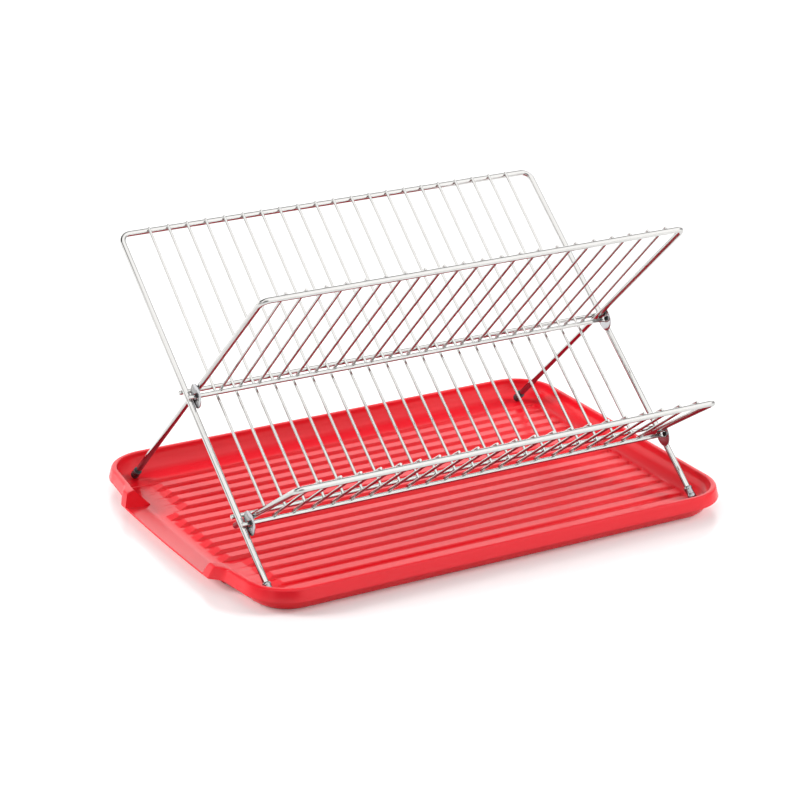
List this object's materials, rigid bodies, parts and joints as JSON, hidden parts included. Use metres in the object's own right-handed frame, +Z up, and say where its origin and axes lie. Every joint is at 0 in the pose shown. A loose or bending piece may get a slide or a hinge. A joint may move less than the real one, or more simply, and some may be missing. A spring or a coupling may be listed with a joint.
{
  "type": "folding dish rack",
  "caption": "Cross-legged folding wire dish rack with two upright plate grilles and a hinged lower shelf, standing in a ribbed drip tray with a side spout.",
  "frame": {"origin": "middle of the drip tray's underside, on the table", "axes": "+X to the right along the tray's length, away from the spout; +Y to the back; +Z up"},
  "size_m": [0.539, 0.3936, 0.2889],
  "materials": {
    "red_tray": "satin moulded plastic",
    "hoop_wire": "polished chrome plate",
    "cross_bar": "polished chrome plate",
    "grille_wire": "polished chrome plate",
    "pivot_plate": "chromed stamped steel",
    "foot_cap": "soft grey plastic"
  },
  "bodies": {
    "tray": {"drip_tray": "red_tray"},
    "main_frame": {"main_hoop": "hoop_wire", "main_mid_bar": "cross_bar", "main_low_bar": "cross_bar", "main_wire_01": "grille_wire", "main_wire_02": "grille_wire", "main_wire_03": "grille_wire", "main_wire_04": "grille_wire", "main_wire_05": "grille_wire", "main_wire_06": "grille_wire", "main_wire_07": "grille_wire", "main_wire_08": "grille_wire", "main_wire_09": "grille_wire", "main_wire_10": "grille_wire", "main_wire_11": "grille_wire", "main_wire_12": "grille_wire", "main_wire_13": "grille_wire", "main_wire_14": "grille_wire", "main_wire_15": "grille_wire", "main_wire_16": "grille_wire", "main_wire_17": "grille_wire", "main_wire_18": "grille_wire", "main_wire_19": "grille_wire", "main_wire_20": "grille_wire", "main_wire_21": "grille_wire", "cross_pivot_plate_left": "pivot_plate", "cross_pivot_plate_right": "pivot_plate", "shelf_pivot_plate_left": "pivot_plate", "shelf_pivot_plate_right": "pivot_plate", "front_foot_cap_left": "foot_cap", "front_foot_cap_right": "foot_cap"},
    "cross_frame": {"cross_hoop": "hoop_wire", "cross_pivot_rod": "cross_bar", "cross_wire_01": "grille_wire", "cross_wire_02": "grille_wire", "cross_wire_03": "grille_wire", "cross_wire_04": "grille_wire", "cross_wire_05": "grille_wire", "cross_wire_06": "grille_wire", "cross_wire_07": "grille_wire", "cross_wire_08": "grille_wire", "cross_wire_09": "grille_wire", "cross_wire_10": "grille_wire", "cross_wire_11": "grille_wire", "cross_wire_12": "grille_wire", "cross_wire_13": "grille_wire", "cross_wire_14": "grille_wire", "cross_wire_15": "grille_wire", "cross_wire_16": "grille_wire", "cross_wire_17": "grille_wire", "cross_wire_18": "grille_wire", "cross_wire_19": "grille_wire", "cross_wire_20": "grille_wire", "cross_wire_21": "grille_wire", "back_foot_cap_left": "foot_cap", "back_foot_cap_right": "foot_cap"},
    "lower_shelf": {"shelf_hoop": "hoop_wire", "shelf_grille": "grille_wire"}
  },
  "joints": [
    {"name": "frame_lean", "type": "hinge", "parent": "tray", "child": "main_frame", "pos_m": [-0.003, -0.15721, 0.0107], "axis": [1, 0, 0], "range_deg": [0, 46]},
    {"name": "cross_fold", "type": "hinge", "parent": "main_frame", "child": "cross_frame", "pos_m": [-0.003, 0.00555, 0.14786], "axis": [-1, 0, 0], "range_deg": [0, 92]},
    {"name": "shelf_fold", "type": "hinge", "parent": "main_frame", "child": "lower_shelf", "pos_m": [-0.003, -0.10529, 0.05925], "axis": [-1, 0, 0], "range_deg": [0, 98.9]}
  ],
  "couplings": [
    {"joint": "cross_fold", "follows": "frame_lean", "ratio": 2},
    {"joint": "shelf_fold", "follows": "frame_lean", "ratio": 2.15}
  ]
}
